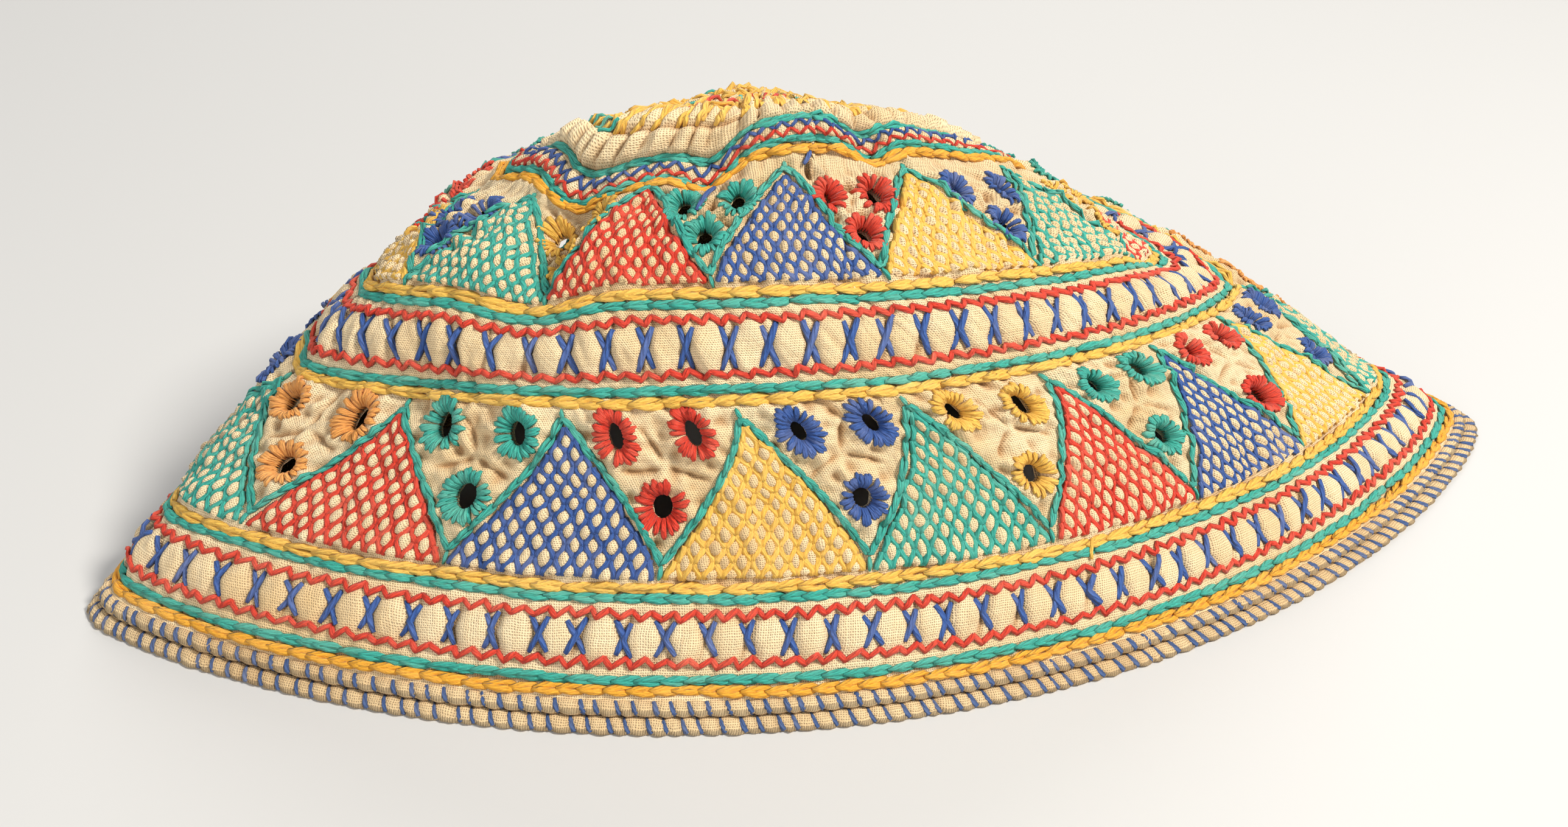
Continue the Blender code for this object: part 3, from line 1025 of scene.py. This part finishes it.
def sew_crown(materials):
    """The wrapped pleats, the lines of chain stitch and the rosette of the top."""
    for name, places, low, high, lean in (
        ("crown_wrap_low", PLEATS, PLEATS_END - 0.2, WRAPPED_MIDDLE, 0.9),
        ("crown_wrap_low_second", PLEATS, PLEATS_END + 0.4, WRAPPED_MIDDLE - 0.6, -0.9),
        ("crown_wrap_high", WRAPS, WRAPPED_MIDDLE, WRAPPED_END, 0.7),
        ("crown_wrap_high_second", WRAPS, WRAPPED_MIDDLE + 1.0, WRAPPED_END, -0.9),
    ):
        ring_stitches(name, places, low, high, lean, "yellow", materials, wide=1.25)
    reds = WRAPS[(WRAPS > 0.14) & (WRAPS < 0.27)] + 0.5 / len(WRAPS)
    ring_stitches("crown_red_stitches", reds, 120.0, 124.5, 1.6, "red", materials)
    teals = PLEATS[(PLEATS > 0.04) & (PLEATS < 0.1)] + 0.3 / len(PLEATS)
    ring_stitches("crown_teal_stitches", teals, 114.3, 116.5, 1.0, "teal", materials)
    chains = line_chains(CROWN_YELLOW_LINES, 71, 50, pitch=2.8, half_width=0.4)
    sew("crown_yellow_chains", joined(chains), 0.85 * LOOP_THICK, 0.75, "yellow", materials)
    ring_stitches("crown_rosette", ROSETTE, 134.5, 139.5, 0.8, "yellow", materials)
    ring_stitches("crown_rosette_inner", ROSETTE[::2], 140.5, 145.3, 0.6, "yellow", materials)
    ring_stitches("crown_rosette_teal", ROSETTE[1::2], 133.5, 137.0, -0.8, "teal", materials)


# Single stitches that stray from the pattern: around, up at both ends, and color
Stray = namedtuple("Stray", "around_from up_from around_to up_to color")
STRAYS = (
    Stray(0.208, 97.5, 0.201, 88.0, "blue"),
    Stray(0.262, 98.0, 0.268, 101.0, "blue"),
    Stray(0.295, 21.0, 0.293, 17.8, "yellow"),
)


def sew_strays(materials):
    for number, stray in enumerate(STRAYS):
        around = np.linspace(stray.around_from, stray.around_to, 7)[None, :]
        up = np.linspace(stray.up_from, stray.up_to, 7)[None, :]
        rows = around, up, 0.5 + 0.3 * arch(7)
        name = "stray_%s_stitch_%d" % (stray.color, number + 1)
        sew(name, rows, 0.8 * taper(7, 0.7), 0.6, stray.color, materials)


# Materials


def srgb(red, green, blue):
    """A color given in 0 to 255 as the eye sees it, as linear light."""
    values = np.array([red, green, blue]) / 255
    return tuple(float(value) for value in np.where(
        values <= 0.04045, values / 12.92, ((values + 0.055) / 1.055) ** 2.4))


# Each thread's own colour, then a darker colour painted as shade between its filaments and on the
# underside of each stitch
COLORS = {
    "teal": (srgb(58, 182, 162), srgb(8, 94, 88)),
    "yellow": (srgb(248, 198, 84), srgb(192, 122, 30)),
    "gold": (srgb(250, 180, 46), srgb(180, 102, 14)),
    "orange": (srgb(244, 170, 84), srgb(182, 98, 38)),
    "red": (srgb(232, 60, 32), srgb(134, 20, 12)),
    "blue": (srgb(52, 94, 166), srgb(16, 36, 90)),
    "hem_blue": (srgb(66, 94, 144), srgb(28, 44, 84)),
}
WEAVE_RATE = 2.8
# Clean cloth, stained cloth, soil and painted shade in the creases, and the holes of the weave
IVORY = (srgb(248, 226, 184), srgb(222, 184, 126), srgb(168, 118, 64), srgb(156, 106, 56))
HEM_IVORY = (srgb(238, 210, 162), srgb(204, 164, 110), srgb(118, 82, 48), srgb(146, 102, 58))


def new_material(name):
    material = bpy.data.materials.new(name)
    material.use_nodes = True
    tree = material.node_tree
    return material, tree, tree.nodes["Principled BSDF"]


def add_node(tree, kind, **settings):
    """A node with values for its inputs."""
    node = tree.nodes.new(kind)
    for key, value in settings.items():
        node.inputs[key].default_value = value
    return node


def math_node(tree, operation, first, second=None, third=None):
    node = tree.nodes.new("ShaderNodeMath")
    node.operation = operation
    for socket, value in zip(node.inputs, (first, second, third)):
        if value is None:
            continue
        if isinstance(value, (int, float)):
            socket.default_value = value
        else:
            tree.links.new(value, socket)
    return node.outputs[0]


def mix_color(tree, factor, first, second):
    node = tree.nodes.new("ShaderNodeMix")
    node.data_type = "RGBA"
    for socket, value in ((node.inputs[0], factor), (node.inputs[6], first), (node.inputs[7], second)):
        if isinstance(value, tuple):
            socket.default_value = (*value, 1.0)
        elif isinstance(value, float):
            socket.default_value = value
        else:
            tree.links.new(value, socket)
    return node.outputs[2]


def noise_factor(tree, coordinates, scale, detail, low, high):
    source = add_node(tree, "ShaderNodeTexNoise", Scale=scale, Detail=detail)
    tree.links.new(coordinates, source.inputs["Vector"])
    ramp = tree.nodes.new("ShaderNodeMapRange")
    ramp.inputs["From Min"].default_value = low
    ramp.inputs["From Max"].default_value = high
    tree.links.new(source.outputs["Fac"], ramp.inputs["Value"])
    return ramp.outputs["Result"]


def wave(tree, value, rate):
    """A wave from 0 to 1 that repeats rate times for each unit of value."""
    turned = math_node(tree, "COSINE", math_node(tree, "MULTIPLY", value, 2 * pi * rate))
    return math_node(tree, "MULTIPLY_ADD", turned, 0.5, 0.5)


def thread_tones(tree, across, above, across_rate, above_rate):
    """Tones that change from one thread of the weave to the next."""
    join = tree.nodes.new("ShaderNodeCombineXYZ")
    tree.links.new(math_node(tree, "MULTIPLY", across, across_rate), join.inputs[0])
    tree.links.new(math_node(tree, "MULTIPLY", above, above_rate), join.inputs[1])
    return noise_factor(tree, join.outputs[0], 1.0, 2.0, 0.3, 0.7)


def cloth_material(name, shades):
    """Plain weave cotton: threads over and under, and a dark hole beside each crossing."""
    material, tree, shader = new_material(name)
    place = tree.nodes.new("ShaderNodeTexCoord")
    split = tree.nodes.new("ShaderNodeSeparateXYZ")
    tree.links.new(place.outputs["UV"], split.inputs[0])
    sway = noise_factor(tree, place.outputs["Object"], 260.0, 2.0, 0.0, 1.0)
    across = math_node(tree, "MULTIPLY_ADD", sway, 0.9, split.outputs[0])
    above = math_node(tree, "MULTIPLY_ADD", sway, -0.7, split.outputs[1])
    holes = math_node(tree, "MULTIPLY", wave(tree, across, WEAVE_RATE), wave(tree, above, WEAVE_RATE))
    holes = math_node(tree, "POWER", holes, 1.6)
    over = wave(tree, math_node(tree, "ADD", across, above), WEAVE_RATE / 2)
    upright = thread_tones(tree, across, above, WEAVE_RATE, 0.12)
    level = thread_tones(tree, across, above, 0.12, WEAVE_RATE)
    weave = math_node(tree, "ADD", upright, level)
    stain = noise_factor(tree, place.outputs["Object"], 45.0, 5.0, 0.42, 0.75)
    slub = noise_factor(tree, place.outputs["Object"], 1100.0, 3.0, 0.3, 0.7)
    tone = mix_color(tree, math_node(tree, "MULTIPLY", stain, 0.8), shades[0], shades[1])
    tone = mix_color(tree, math_node(tree, "MULTIPLY", weave, 0.22), tone, shades[1])
    # The hollows are mixed toward the crease colour: painted shade as well as soil
    soil_and_shade = tree.nodes.new("ShaderNodeAttribute")
    soil_and_shade.attribute_name = "soil_and_shade"
    soil_and_shade_share = math_node(tree, "MULTIPLY", soil_and_shade.outputs["Fac"], 0.75)
    tone = mix_color(tree, soil_and_shade_share, tone, shades[2])
    depth = math_node(tree, "MULTIPLY_ADD", slub, 0.4, 0.35)
    color = mix_color(tree, math_node(tree, "MULTIPLY", holes, depth), tone, shades[3])
    tree.links.new(color, shader.inputs["Base Color"])
    shader.inputs["Roughness"].default_value = 0.92
    shader.inputs["Sheen Weight"].default_value = 0.1
    shader.inputs["Sheen Roughness"].default_value = 0.5
    height = math_node(tree, "MULTIPLY_ADD", over, 0.35, math_node(tree, "MULTIPLY", weave, 0.7))
    height = math_node(tree, "SUBTRACT", height, math_node(tree, "MULTIPLY", holes, 1.4))
    raise_surface(tree, shader, height, 0.9, 0.00012)
    return material


def raise_surface(tree, shader, height, strength, distance):
    node = add_node(tree, "ShaderNodeBump", Strength=strength, Distance=distance)
    tree.links.new(height, node.inputs["Height"])
    tree.links.new(node.outputs["Normal"], shader.inputs["Normal"])


def thread_material(name, shades):
    """Stranded cotton: fine filaments with a slight twist, each stitch its own shade."""
    material, tree, shader = new_material(name)
    place = tree.nodes.new("ShaderNodeTexCoord")
    island = tree.nodes.new("ShaderNodeNewGeometry").outputs["Random Per Island"]
    split = tree.nodes.new("ShaderNodeSeparateXYZ")
    tree.links.new(place.outputs["UV"], split.inputs[0])
    join = tree.nodes.new("ShaderNodeCombineXYZ")
    tree.links.new(math_node(tree, "MULTIPLY", split.outputs[0], 0.35), join.inputs[0])
    tree.links.new(math_node(tree, "MULTIPLY", split.outputs[1], 5.0), join.inputs[1])
    tree.links.new(math_node(tree, "MULTIPLY", island, 40.0), join.inputs[2])
    fibers = noise_factor(tree, join.outputs[0], 2.2, 3.0, 0.3, 0.7)
    twist = math_node(tree, "MULTIPLY_ADD", split.outputs[0], 0.12, split.outputs[1])
    strands = wave(tree, math_node(tree, "MULTIPLY_ADD", fibers, 0.1, twist), 4.0)
    height = math_node(tree, "MULTIPLY_ADD", strands, 0.8, fibers)
    # Painted shade: the thread darkens between its filaments, with some random tone along the fibres,
    # and most on the underside and sides of each stitch
    flank = wave(tree, math_node(tree, "SUBTRACT", split.outputs[1], 0.75), 1.0)
    dark = math_node(tree, "MULTIPLY", math_node(tree, "SUBTRACT", 1.5, height), 0.34)
    dark = math_node(tree, "MULTIPLY_ADD", flank, 0.4, dark)
    color = mix_color(tree, dark, shades[0], shades[1])
    pale = tuple(0.82 * value + 0.18 * light for value, light in zip(shades[0], IVORY[0]))
    fade = noise_factor(tree, place.outputs["Object"], 90.0, 3.0, 0.35, 0.7)
    vary = math_node(tree, "MULTIPLY", math_node(tree, "MULTIPLY", island, fade), 0.7)
    color = mix_color(tree, vary, color, pale)
    tree.links.new(color, shader.inputs["Base Color"])
    shader.inputs["Roughness"].default_value = 0.7
    shader.inputs["Sheen Weight"].default_value = 0.1
    shader.inputs["Sheen Roughness"].default_value = 0.4
    raise_surface(tree, shader, height, 0.8, 0.00018)
    return material


def make_materials():
    materials = {color: thread_material(color + "_cotton_thread", shades)
                 for color, shades in COLORS.items()}
    materials["ivory"] = cloth_material("ivory_plain_weave", IVORY)
    materials["hem"] = cloth_material("hem_plain_weave", HEM_IVORY)
    return materials


# The stage

CAMERA_AZIMUTH = radians(-18.0)
CAMERA_ELEVATION = radians(34.0)
CAMERA_ROLL = radians(3.2)
CAMERA_DISTANCE = 0.310
CAMERA_TARGET = Vector((-0.0126, 0.0, 0.0207))
FOCAL_PIXELS = 3010
PHOTO_WIDTH = 2576
SENSOR_MM = 36.0


def add_camera():
    back = Vector((
        np.sin(CAMERA_AZIMUTH) * np.cos(CAMERA_ELEVATION),
        -np.cos(CAMERA_AZIMUTH) * np.cos(CAMERA_ELEVATION),
        np.sin(CAMERA_ELEVATION),
    ))
    data = bpy.data.cameras.new("camera")
    data.sensor_width = SENSOR_MM
    data.lens = FOCAL_PIXELS / PHOTO_WIDTH * SENSOR_MM
    data.clip_start = 0.01
    camera = bpy.data.objects.new("camera", data)
    camera.location = CAMERA_TARGET + back * CAMERA_DISTANCE
    camera.rotation_mode = "QUATERNION"
    look = (-back).to_track_quat("-Z", "Y")
    camera.rotation_quaternion = look @ Quaternion((0.0, 0.0, 1.0), CAMERA_ROLL)
    bpy.context.scene.collection.objects.link(camera)
    bpy.context.scene.camera = camera


def add_area_light(name, place, size, watts, color):
    data = bpy.data.lights.new(name, "AREA")
    data.shape = "DISK"
    data.size = size
    data.energy = watts
    data.color = color
    light = bpy.data.objects.new(name, data)
    light.location = place
    aim = Vector((0.0, 0.0, 0.03)) - Vector(place)
    light.rotation_mode = "QUATERNION"
    light.rotation_quaternion = aim.to_track_quat("-Z", "Y")
    bpy.context.scene.collection.objects.link(light)


def add_stage():
    bpy.ops.mesh.primitive_plane_add(size=12.0, location=(0.0, 0.0, -0.00005))
    floor = bpy.context.object
    floor.name = "floor"
    material, _, shader = new_material("pale_floor")
    shader.inputs["Base Color"].default_value = (0.62, 0.61, 0.59, 1.0)
    shader.inputs["Roughness"].default_value = 0.9
    floor.data.materials.append(material)
    add_area_light("key", (0.42, -0.38, 0.72), 0.25, 9.5, (1.0, 0.97, 0.92))
    add_area_light("fill", (-0.7, -0.5, 0.5), 0.7, 3.2, (0.96, 0.98, 1.0))
    add_area_light("back", (0.2, 0.8, 0.6), 0.5, 4.0, (1.0, 0.98, 0.95))
    world = bpy.data.worlds.new("world")
    world.use_nodes = True
    world.node_tree.nodes["Background"].inputs[0].default_value = (0.92, 0.95, 1.0, 1.0)
    world.node_tree.nodes["Background"].inputs[1].default_value = 0.26
    bpy.context.scene.world = world
    bpy.context.scene.view_settings.view_transform = "Standard"


def build_cap():
    materials = make_materials()
    lower = cloth_wall("lower_cloth", 560, 280, LOWER_OUTER, LOWER_INNER)
    dress(lower, materials["ivory"], ("side_wall",))
    upper = cloth_wall("upper_cloth", 480, 220, UPPER_OUTER, UPPER_INNER)
    dress(upper, materials["ivory"], ("side_wall",))
    crown = crown_cloth("crown_cloth", 480, 76, 6)
    dress(crown, materials["ivory"], ("crown_top",))
    roll_cloth("lower_roll_cloth", 0.0, "rim_roll_lower", materials)
    roll_cloth("upper_roll_cloth", ROLL_HEIGHT + ROLL_GAP, "rim_roll_upper", materials)
    sew_chain_lines(materials)
    sew_outline_tails(materials)
    sew_zigzags(materials)
    sew_crosses(materials)
    sew_lattices(materials)
    sew_eyelets(materials)
    sew_hem(materials)
    sew_thin_band(materials)
    sew_crown(materials)
    sew_strays(materials)


build_cap()
add_camera()
add_stage()
